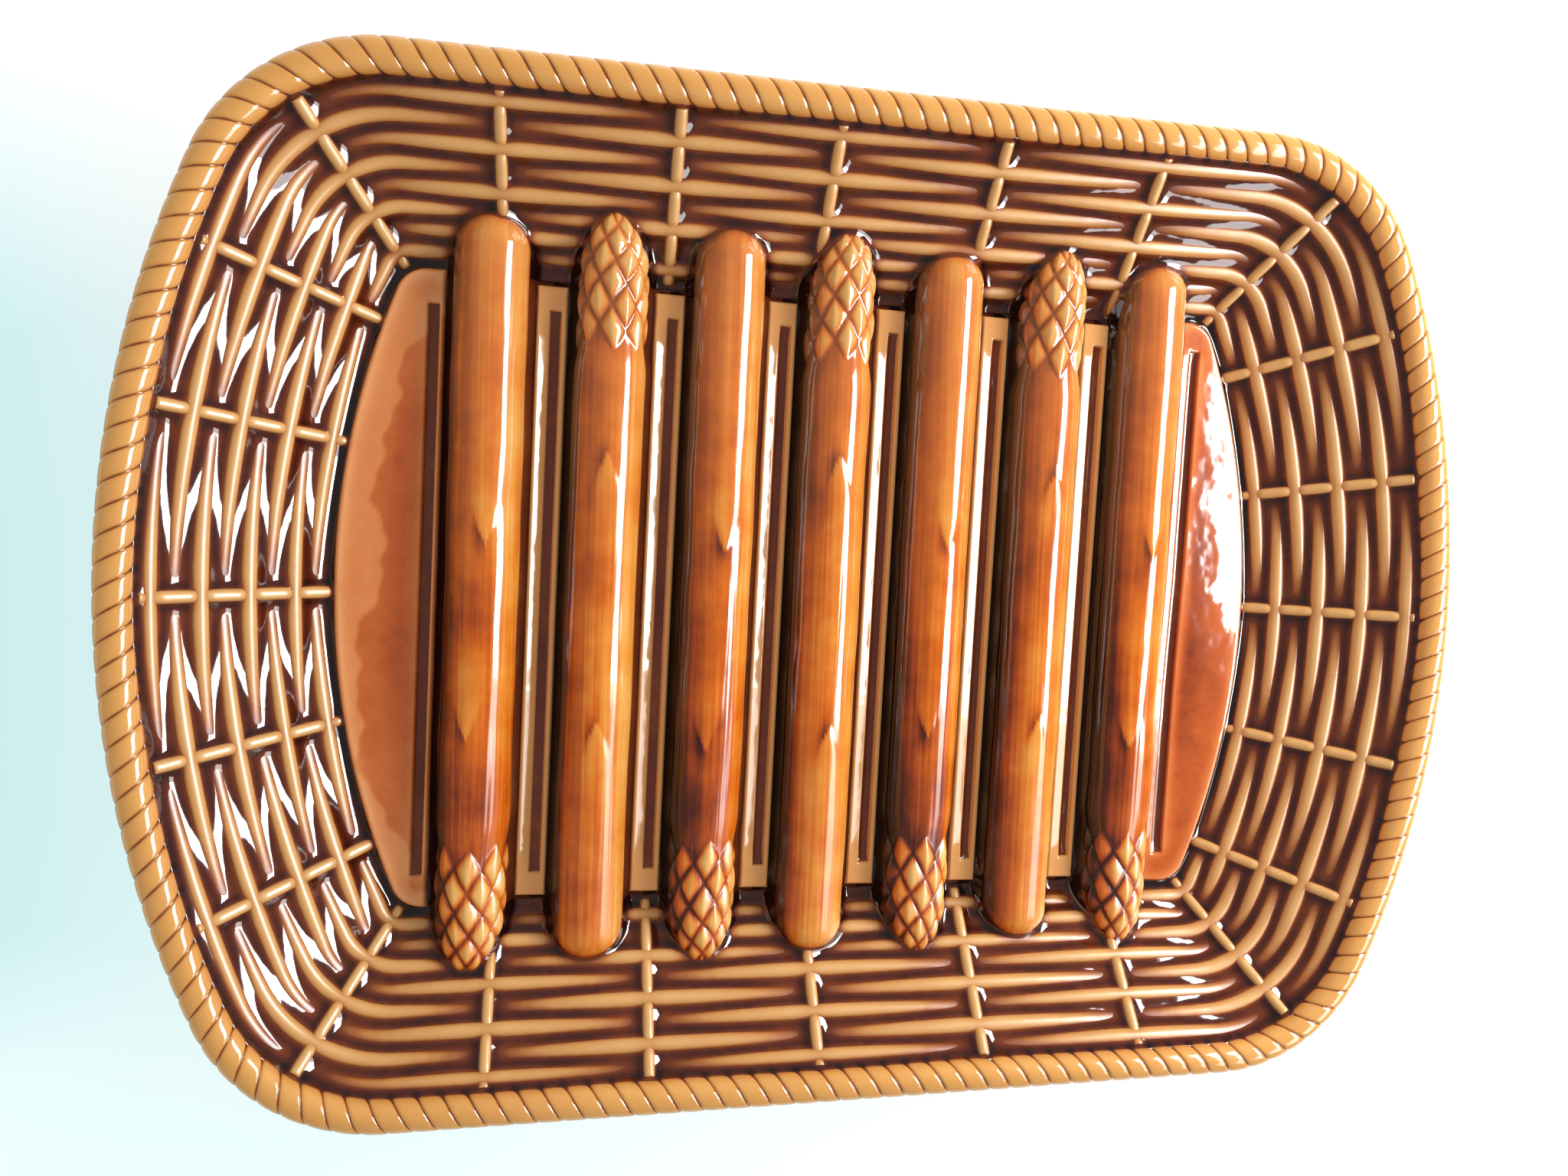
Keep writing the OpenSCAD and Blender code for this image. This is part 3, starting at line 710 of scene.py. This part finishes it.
def slotCut(x, y, slant):
    fromEnd = bars["slotL"] / 2 - np.abs(y)
    inside = np.minimum(bars["slotW"] / 2 - np.abs(x), fromEnd)
    t = np.clip(inside / bars["slotSoft"] + bars["slotShare"], 0, 1)
    cut = bars["slotDeep"] * t * t * (3 - 2 * t)
    # the left lip falls to the right, and flattens towards the slot
    run = bars["lipTo"] - bars["lipFrom"]
    u = np.clip(x - bars["lipFrom"], 0, run)
    steep = math.tan(math.radians(slant + bars["lipRange"]))
    flat = math.tan(math.radians(slant - bars["lipRange"]))
    lip = steep * u - (steep - flat) * u * u / (2 * run)
    lip = lip * np.clip(fromEnd / bars["lipEnd"], 0, 1)
    inner = np.minimum(x - bars["lipTo"] - bars["lipGap"], fromEnd)
    t = np.clip(inner / bars["slotSoft"] + bars["slotShare"], 0, 1)
    sunk = (bars["slotDeep"] - lip) * t * t * (3 - 2 * t)
    return np.where(x < 0, lip + sunk, cut)


# Coordinates from the first mark to the last, close together near every mark
def closeLines(marks, coarse, fine, reach):
    out = [marks[0]]
    while out[-1] < marks[-1] - 1e-6:
        gap = min(abs(out[-1] - m) for m in marks)
        step = fine + (coarse - fine) * min(1, gap / reach)
        out.append(min(out[-1] + step, marks[-1]))
    return np.array(out)


# x, y and top are grids; the rim of the grid goes down to one flat face
def slab(x, y, top, bottom):
    m, n = x.shape
    index = np.arange(m * n).reshape(m, n)
    corners = [index[:-1, :-1], index[:-1, 1:], index[1:, 1:], index[1:, :-1]]
    faces = np.stack(corners, -1).reshape(-1, 4).tolist()
    loop = np.concatenate([index[0, :-1], index[:-1, -1], index[-1, :0:-1], index[:0:-1, 0]])
    points = np.stack([x, y, top], -1).reshape(-1, 3)
    under = points[loop] * (1, 1, 0) + (0, 0, bottom)
    low = m * n + np.arange(len(loop))
    faces += quadsBetween(loop, low)
    faces.append(low[::-1].tolist())
    return np.vstack([points, under]), faces


def makeBar(k):
    halfW, halfL = bars["width"] / 2, bars["length"] / 2
    slotL = bars["slotL"] / 2
    xs = closeLines([-halfW, bars["lipTo"], bars["slotW"] / 2, halfW], *bars["acrossSteps"])
    ys = closeLines([-halfL, -slotL, slotL, halfL], *bars["alongSteps"])
    y, x = np.meshgrid(ys, xs, indexing="ij")
    edge = np.minimum(halfW - np.abs(x), halfL - np.abs(y))
    top = dish["floorZ"] + bars["height"] * softStep(edge, bars["edge"])
    top = np.maximum(top - slotCut(x, y, bars["lips"][k - 1]), dish["floorZ"] - bars["lowest"])
    gx, gy = leanInto(x, y, False)
    gx = gx + spears["shift"] + (k - (bars["count"] + 1) / 2) * spears["pitch"]
    keepShape(f"drain_bar_{k}", slab(gx, gy, top, rootZ), bars["stainAndPaintedLight"])


for k in range(1, bars["count"] + 1):
    makeBar(k)

fields = dict(
    groove=1.2, cornerR=9.0, edge=1.6, slant=6.0, rows=190, room=0.02,
    nearSteps=(0.4, 0.16, 1.0), farSteps=(0.035, 0.012, 0.2), narrowest=0.2, squeezeFrom=2,
    sink=1.3, sinkFrom=8, sinkRun=35,  # the front of the right field sinks towards the spears
    # a paler run with a ragged edge round the left field's outer edge is a painted reflection; the
    # fields are darker towards the middle
    pale=-0.75, reflectionTo=8.5, reflectionLean=0.06, reflectionEdge=0.9, rightStain=0.25,
    innerStain=0.35, innerFrom=10, innerRun=8,
    ragged=((3.0, 14, 1.0), (1.6, 6.3, 0.3), (0.9, 2.9, 2.0), (0.5, 1.3, 4.0)),
)


def makeField(name, side):
    width = bars["width"]
    inner = (spears["count"] / 2) * spears["pitch"] - width / 2
    d = dish["flareW"] + fields["groove"]
    l, w, bow, corner = dish["halfL"] - d, dish["halfW"] - d, dish["bowR"] - d, fields["cornerR"]
    ys = (w - fields["room"]) * np.sin(np.linspace(-math.pi / 2, math.pi / 2, fields["rows"]))
    midX = l - bow
    midC = midX + math.sqrt((bow - corner) ** 2 - (w - corner) ** 2)
    lastBow = bow * math.sin(math.asin((w - corner) / (bow - corner)))
    past = np.maximum(np.abs(ys) - (w - corner), 0)
    outer = np.where(
        np.abs(ys) < lastBow, midX + np.sqrt(np.maximum(bow ** 2 - ys ** 2, 0)),
        midC + np.sqrt(np.maximum(corner ** 2 - past ** 2, 0)))
    lean = math.tan(math.radians(spears["lean"]))
    innerX = spears["shift"] + side * inner + ys * lean
    slotX = width / 2 + np.array([-bars["slotW"] / 2, bars["slotW"] / 2])
    near = closeLines([0, slotX[0], slotX[1], width], *fields["nearSteps"])
    rest = closeLines([0, 1.0], *fields["farSteps"])[1:]
    span = np.maximum(side * (side * outer - innerX), fields["narrowest"])
    inward = near[None, :] * np.minimum(1, span / (width + fields["squeezeFrom"]))[:, None]
    beyond = inward[:, -1:] + rest[None, :] * (span[:, None] - inward[:, -1:])
    across = np.hstack([inward, beyond])
    x = innerX[:, None] + side * across
    y = np.repeat(ys[:, None], across.shape[1], 1)
    fromRim = depthInside(x, y, l, w, bow, corner)
    cut = slotCut(side * (across - width / 2), y, fields["slant"])
    edge = np.minimum(fromRim, across)
    top = dish["floorZ"] + bars["height"] * softStep(edge, fields["edge"]) - cut
    stainAndPaintedLight = fields["rightStain"]
    if side > 0:
        frontwards = np.clip((fields["sinkFrom"] - y) / fields["sinkRun"], 0, 1)
        top = top - fields["sink"] * (1 - across / span[:, None]) * frontwards
    else:
        # a painted reflection: a paler band with a ragged edge round the left field's outer edge
        ragged = sum(a * np.sin(y / b + c) for a, b, c in fields["ragged"])
        within = fields["reflectionTo"] + ragged + fields["reflectionLean"] * y - fromRim
        stainAndPaintedLight = fields["pale"] * np.clip(within / fields["reflectionEdge"] + 0.5, 0, 1)
    top = np.maximum(top, dish["floorZ"] - bars["lowest"])
    inwards = np.clip((fromRim - fields["innerFrom"]) / fields["innerRun"], 0, 1)
    stainAndPaintedLight = stainAndPaintedLight + fields["innerStain"] * inwards
    keepShape(name, slab(x, y, top, rootZ), stainAndPaintedLight)


makeField("end_field_left", -1)
makeField("end_field_right", 1)
print("bars and fields shaped")

# Glaze depth over the whole dish, on a grid in plan
relief = dict(
    cell=0.4, halfL=188.0, halfW=140.0, high=60.0,
    # widths of the blurs that give the glaze's own surface, its surroundings and the clay
    skin=1.6, wellSkin=1.7, spread=2.1, clay=0.5,
    sunk=0.12, wellFrom=43.0, wellTo=47.0,
    # how high above wall and floor the glaze stops, and how softly it drops away there
    bare=3.9, bareSoft=1.2, bareBlur=1.0, bareFrom=0.80, bareRun=0.18, bareDrop=1.3,
    # depth for the colour, on the wall, in the well and in the slots; beside the spears the groove on
    # their shaded side is deep glaze and painted shade, their lit side paler
    thick=1.05, thin=0.38, outside=0.1, rimD=7, groovePoolAndShade=1.7, litPool=0.75,
    slotPool=0.50, slotHalf=4.2, slotEdge=0.9, slotEnd=82, wellEdge=2.5,
)
gridX = np.arange(-relief["halfL"], relief["halfL"], relief["cell"])
gridY = np.arange(-relief["halfW"], relief["halfW"], relief["cell"])
gridD = depthInside(*np.meshgrid(gridX, gridY, indexing="ij"))


def blurred(field, size):
    reach = int(math.ceil(3 * size / relief["cell"]))
    steps = np.arange(-reach, reach + 1)
    weight = np.exp(-((steps * relief["cell"] / size) ** 2) / 2)
    weight /= weight.sum()
    for axis in (0, 1):
        padded = np.pad(field, [(reach, reach) if a == axis else (0, 0) for a in (0, 1)], mode="edge")
        out = np.zeros_like(field)
        for shift, w in zip(steps, weight):
            cut = [slice(None), slice(None)]
            cut[axis] = slice(reach + shift, reach + shift + field.shape[axis])
            out += w * padded[tuple(cut)]
        field = out
    return field


# Heights of the bare wall and floor, and of whatever stands highest on them
def bodySurface():
    base = np.where(gridD > dish["wallTopD"] - 1, wallZ(gridD), dish["rimZ"] - 4)
    points, faces = joined([shape[:2] for shape in shapes.values()])
    tree = BVHTree.FromPolygons(points.tolist(), faces)
    top = base.copy()
    down = (0.0, 0.0, -1.0)
    for i, x in enumerate(gridX.tolist()):
        for j, y in enumerate(gridY.tolist()):
            if gridD[i, j] > -0.5:
                hit = tree.ray_cast((x, y, relief["high"]), down, relief["high"])[0]
                if hit is not None and hit[2] > top[i, j]:
                    top[i, j] = hit[2]
    return base, top


baseField, bodyField = bodySurface()
spreadField = blurred(bodyField, relief["spread"])
clayField = blurred(bodyField, relief["clay"])


# The glaze lies thin on the wall and runs together more thickly in the well
def glazeSkin():
    share = np.clip((gridD - relief["wellFrom"]) / (relief["wellTo"] - relief["wellFrom"]), 0, 1)
    wall = blurred(bodyField, relief["skin"])
    well = blurred(bodyField, relief["wellSkin"])
    # it never shows between the scales on top of the spears
    above = np.clip((bodyField - baseField - relief["bare"]) / relief["bareSoft"], 0, 1)
    above = blurred(above, relief["bareBlur"])
    above = np.clip((above - relief["bareFrom"]) / relief["bareRun"], 0, 1)
    skin = wall + (well - wall) * share * share * (3 - 2 * share)
    return skin - relief["sunk"] - relief["bareDrop"] * above


skinField = glazeSkin()


def sampled(field, x, y):
    u = np.clip((x + relief["halfL"]) / relief["cell"], 0, field.shape[0] - 1.001)
    v = np.clip((y + relief["halfW"]) / relief["cell"], 0, field.shape[1] - 1.001)
    i, j = u.astype(int), v.astype(int)
    fu, fv = u - i, v - j
    return (field[i, j] * (1 - fu) * (1 - fv) + field[i + 1, j] * fu * (1 - fv)
            + field[i, j + 1] * (1 - fu) * fv + field[i + 1, j + 1] * fu * fv)


print("glaze depth worked out")

# Shell
shell = dict(
    around=1560, wallSteps=84, wallFrom=8.4, wellD=49.0, shelf=4.6,
    # rings of the underside: distance inside the foot of the wall, and height over the underside
    under=((8, 0), (3, 0), (1.2, 0.05)),
    outTop=(2.25, 35.1), outSteps=36, belly=0.35, bellyLean=0.4, footRound=0.25,
    seat=((3.0, 36.5), (5.5, 37.5), (7.8, 37.0)),  # under the rope
    shrinks=(0.85, 0.6, 0.3),
)


def shellRings():
    s = np.linspace(0, 4 * quarterRun(0), shell["around"], endpoint=False)
    x, y, nx, ny = outlineAt(0, s)
    rings = []

    def ring(d, z):
        rings.append(np.stack([x - d * nx, y - d * ny, np.broadcast_to(z, x.shape)], -1))

    # the underside from the middle outwards, then up the outside of the wall
    outFoot = dish["flareW"] + dish["wallT"] * math.tan(slope / 2)
    outD, outZ = shell["outTop"]
    for d, z in shell["under"]:
        ring(outFoot + d, dish["underZ"] + z)
    for t in np.linspace(0, 1, shell["outSteps"]):
        belly = shell["belly"] * math.sin(math.pi * t)
        ring(
            outFoot + (outD - outFoot) * t + belly * math.sin(slope) * shell["bellyLean"],
            dish["underZ"] + (outZ - dish["underZ"]) * t + shell["footRound"] * (1 - t) ** 6)
    for d, z in shell["seat"]:
        ring(d, z)
    # the glazed inside of the wall, down to the shelf under the well's floor
    for d in np.linspace(shell["wallFrom"], shell["wellD"], shell["wallSteps"]):
        ring(d, np.maximum(sampled(skinField, x - d * nx, y - d * ny), wallZ(d)))
    ring(shell["wellD"], shell["shelf"])
    return np.array(rings)


def makeShell():
    rings = shellRings()
    m, n = rings.shape[:2]
    index = np.arange(m * n).reshape(m, n)
    faces = quadsBetween(index[:-1], index[1:])
    # the middle of the underside and of the shelf, as shrinking rings
    parts = [rings.reshape(-1, 3)]
    count = m * n
    for edge, z in ((0, dish["underZ"]), (m - 1, shell["shelf"])):
        outer = index[edge]
        for shrink in shell["shrinks"]:
            parts.append(np.column_stack([rings[edge][:, :2] * shrink, np.full(n, z)]))
            inner = np.arange(count, count + n)
            count += n
            quads = np.stack([outer, np.roll(outer, -1), np.roll(inner, -1), inner], -1)
            faces += (quads[:, ::-1] if edge else quads).tolist()
            outer = inner
        parts.append(np.array([[0, 0, z]]))
        for i in range(n):
            fan = (int(outer[i]), int(outer[(i + 1) % n]), count)
            faces.append(fan[::-1] if edge else fan)
        count += 1
    keepShape("tray_shell", (np.vstack(parts), [tuple(reversed(f)) for f in faces]))


makeShell()

# Glazed floor of the well, fine across the spears
well = dict(
    overlap=0.35, fineY=80.0, coarse=2.6, fine=0.5, reach=30.0, inner=108.0, step=0.42, endSteps=64,
    leanRun=8, lift=0.05,
)


def makeWell():
    d = shell["wellD"] - well["overlap"]
    inner = well["inner"]
    wellY = dish["halfW"] - d
    ys = closeLines(
        [-wellY, -well["fineY"], well["fineY"], wellY], well["coarse"], well["fine"], well["reach"])
    xs = np.arange(-inner, inner + 0.01, well["step"])
    l, bow, corner = dish["halfL"] - d, dish["bowR"] - d, dish["cornerR"] - d
    lastBow = bow * math.sin(arcStart)
    ends = np.where(
        np.abs(ys) < lastBow, l - bow + np.sqrt(bow ** 2 - np.minimum(np.abs(ys), bow) ** 2),
        cornerX + np.sqrt(np.maximum(corner ** 2 - np.maximum(np.abs(ys) - cornerY, 0) ** 2, 0)))
    out = np.linspace(0, 1, well["endSteps"])[1:]
    right = inner + out[None, :] * (ends - inner)[:, None]
    x = np.hstack([-right[:, ::-1], np.repeat(xs[None, :], len(ys), 0), right])
    y = np.repeat(ys[:, None], x.shape[1], 1)
    # the middle of the grid leans with the spears
    leaning = np.clip((inner + well["leanRun"] - np.abs(x)) / well["leanRun"], 0, 1)
    x = x + y * (math.tan(math.radians(spears["lean"])) * leaning)
    top = np.maximum(sampled(skinField, x, y), dish["floorZ"])
    keepShape("well_floor", slab(x, y, top, shell["shelf"] + well["lift"]))


makeWell()

# Foot ring
foot = dict(
    inset=6.0, cornerR=22.0, arcSteps=40, longSteps=50,
    # distance inside the ring's outer edge, and height
    profile=((-0.9, 2.9), (-0.55, 2.3), (-0.25, 1.2), (0.0, 0.45), (0.35, 0.08), (0.9, 0.0), (2.0, 0.0),
             (3.1, 0.0), (3.65, 0.08), (4.0, 0.45), (4.25, 1.2), (4.55, 2.3), (4.9, 2.9)),
)


def makeFoot():
    d = dish["flareW"] + foot["inset"]
    l, w, bow, corner = dish["halfL"] - d, dish["halfW"] - d, dish["bowR"] - d, foot["cornerR"]
    midX, midY = l - bow, w - corner
    midC = midX + math.sqrt((bow - corner) ** 2 - midY ** 2)
    begin = math.asin(midY / (bow - corner))
    a = np.linspace(0, begin, foot["arcSteps"], endpoint=False)
    bowPart = np.stack([midX + bow * np.cos(a), bow * np.sin(a), np.cos(a), np.sin(a)], -1)
    a = np.linspace(begin, math.pi / 2, foot["arcSteps"])
    cornerPart = np.stack(
        [midC + corner * np.cos(a), midY + corner * np.sin(a), np.cos(a), np.sin(a)], -1)
    long = np.linspace(midC, 0, foot["longSteps"])[1:]
    longPart = np.stack([long, np.full_like(long, w), 0 * long, 1 + 0 * long], -1)
    quarter = np.vstack([bowPart, cornerPart, longPart])
    half = np.vstack([quarter, quarter[::-1][1:] * (-1, 1, -1, 1)])
    x, y, nx, ny = np.vstack([half, half[::-1][1:-1] * (1, -1, 1, -1)]).T
    rings = [np.stack([x - p * nx, y - p * ny, np.full_like(x, z)], -1) for p, z in foot["profile"]]
    keepShape("foot_ring", loft(rings, wrap=True))


makeFoot()
print("shell and foot shaped")

# Pieces
finishes = dict(
    shell_glaze=glazed("shell_glaze", tanStops),
    foot_glaze=glazed("foot_glaze", tanStops, blotch=0.16),
    rope_glaze=glazed("rope_glaze", ropeStops, blotch=0.05, rough=0.12),
    weave_glaze=glazed("weave_glaze", tanStops, blotch=0.07, rough=0.33),
    field_glaze=glazed("field_glaze", fieldStops),
    bar_glaze=glazed("bar_glaze", barStops),
    spear_glaze=glazed(
        "spear_glaze", orangeStops, blotch=0.22, wave=0.2, rough=0.10, dull=0.20, veil=0.38,
        grain=((0.24, (1100, 14, 300)), (0.36, (420, 9, 200)))),
)
slots = {row["node"]: row["material_slot"] for row in frame["record"]["subparts"]}


# In the well the glaze is deep in the groove round its edge; beside the spears their shaded side is
# deep glaze and painted shade, their lit side and the slots paler
def wellPoolAndShade(x, y):
    acrossBars = leanInto(x, y, False)[0] - 2 * y * math.sin(math.radians(spears["lean"]))
    lane = (acrossBars - spears["shift"]) / spears["pitch"] - 0.5
    aside = (lane - np.round(lane)) * spears["pitch"]
    inSlot = np.clip((relief["slotHalf"] - np.abs(aside)) / relief["slotEdge"], 0, 1)
    inSlot = inSlot * np.clip(relief["slotEnd"] - np.abs(y), 0, 1)
    # the spears' shaded side is painted dark as painted shade, their lit side paler
    pool = np.where(aside < 0, relief["litPool"], relief["groovePoolAndShade"])
    atEdge = np.abs(y) > dish["halfW"] - dish["flareW"] - relief["wellEdge"]
    pool = np.where(atEdge, relief["groovePoolAndShade"], pool)
    return pool + (relief["slotPool"] - pool) * inSlot


def glazeDepth(name, points, stainAndPaintedLight):
    x, y, z = points.T
    pool = sampled(spreadField, x, y) - z
    if name.startswith("asparagus"):
        pool = np.clip(pool, spears["palest"], spears["darkest"])
    if name.startswith("drain_bar"):
        pool = np.clip(pool, bars["palest"], bars["darkest"])
    if name in ("tray_shell", "foot_ring"):
        thick = np.maximum(z - sampled(clayField, x, y), 0)
        below = z < sampled(baseField, x, y) - 1.0
        hidden = below | (depthInside(x, y) < relief["rimD"])
        pool = np.where(hidden, relief["outside"], relief["thin"] + relief["thick"] * thick)
    if name == "well_floor":
        pool = wellPoolAndShade(x, y)
    return pool + stainAndPaintedLight


def makePiece(name):
    points, faces, stainAndPaintedLight = shapes[name]
    mesh = bpy.data.meshes.new(name)
    mesh.from_pydata((points * mm).tolist(), [], faces)
    mesh.polygons.foreach_set("use_smooth", np.ones(len(mesh.polygons), bool))
    store = mesh.attributes.new("pool", "FLOAT", "POINT")
    store.data.foreach_set("value", glazeDepth(name, points, stainAndPaintedLight).astype(np.float32))
    node = "tray_shell" if name == "well_floor" else name
    mesh.materials.append(finishes[slots[node]])
    ob = bpy.data.objects.new(name + "_glazed", mesh)
    bpy.context.collection.objects.link(ob)
    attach(ob, "root")
    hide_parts(node)


for name in shapes:
    makePiece(name)
print("pieces made:", len(shapes))

# Floor and background; each edge is an axis, a place on it and how fast the cool tint and the painted
# shadow grow there
ground = dict(
    size=4.0, matt=0.36, glow=0.78,
    pale=(1.0, 1.0, 1.0), cool=(0.84, 1.0, 1.0), paintedShadow=(0.63, 0.88, 0.89),
    nearEdges=(("X", -0.62, 5.0), ("Y", -0.55, 5.0)),
    coolEdges=(("X", 0.10, -4.0), ("Y", 0.105, -12.0)),
    paintedShadowEdges=(("X", -0.16, -16.0), ("Y", 0.15, -12.0), ("Y", -0.135, 24.0)),
)


# A cool tint lies on the floor to the left and in front, and a painted shadow beside the dish
def paleFloor():
    f = Finish(bpy.data.materials.new("pale_floor"))
    place = f.node("ShaderNodeTexCoord", {}, {}, "Object")

    def patch(edges):
        shade = 1.0
        for axis, start, rate in edges:
            shade = ((f.axis(place, axis) - start) * rate).held() * shade
        return shade

    cool = patch(ground["coolEdges"] + ground["nearEdges"])
    # painted shadow on the floor beside the dish, deeper than the floor's own shadow
    paintedShadow = patch(ground["paintedShadowEdges"] + ground["nearEdges"])
    colour = f.mixed(cool, (*ground["pale"], 1), (*ground["cool"], 1))
    colour = f.mixed(paintedShadow, colour, (*ground["paintedShadow"], 1))
    plain = f.node("ShaderNodeBsdfDiffuse", {}, {"Color": colour})
    dim = f.mixed(1 - ground["matt"], colour, (0, 0, 0, 1))
    matt = f.node("ShaderNodeBsdfDiffuse", {}, {"Color": dim})
    glow = f.node("ShaderNodeEmission", {}, {"Color": colour, "Strength": ground["glow"]})
    seen = f.node("ShaderNodeAddShader", {}, {0: matt, 1: glow})
    ray = f.node("ShaderNodeLightPath", {}, {}, "Is Camera Ray")
    return f.shine(f.node("ShaderNodeMixShader", {}, {0: ray, 1: plain, 2: seen}))


bpy.ops.mesh.primitive_plane_add(size=ground["size"])
floor = bpy.context.object
floor.name = "floor"
floor.data.materials.append(paleFloor())


# White all round for the camera, and a plain soft light for everything else
def paleWorld():
    f = Finish(bpy.data.worlds.new("studio"), "ShaderNodeOutputWorld")

    def sky(strength):
        return f.node("ShaderNodeBackground", {}, {"Color": (1, 1, 1, 1), "Strength": strength})

    def chosen(kind, plain, seen):
        ray = f.node("ShaderNodeLightPath", {}, {}, kind)
        return f.node("ShaderNodeMixShader", {}, {0: ray, 1: plain, 2: seen})

    inGloss = chosen("Is Glossy Ray", sky(studio["world"]), sky(studio["gloom"]))
    return f.shine(chosen("Is Camera Ray", inGloss, sky(studio["backdrop"])))


bpy.context.scene.world = paleWorld()

print("scene ready")
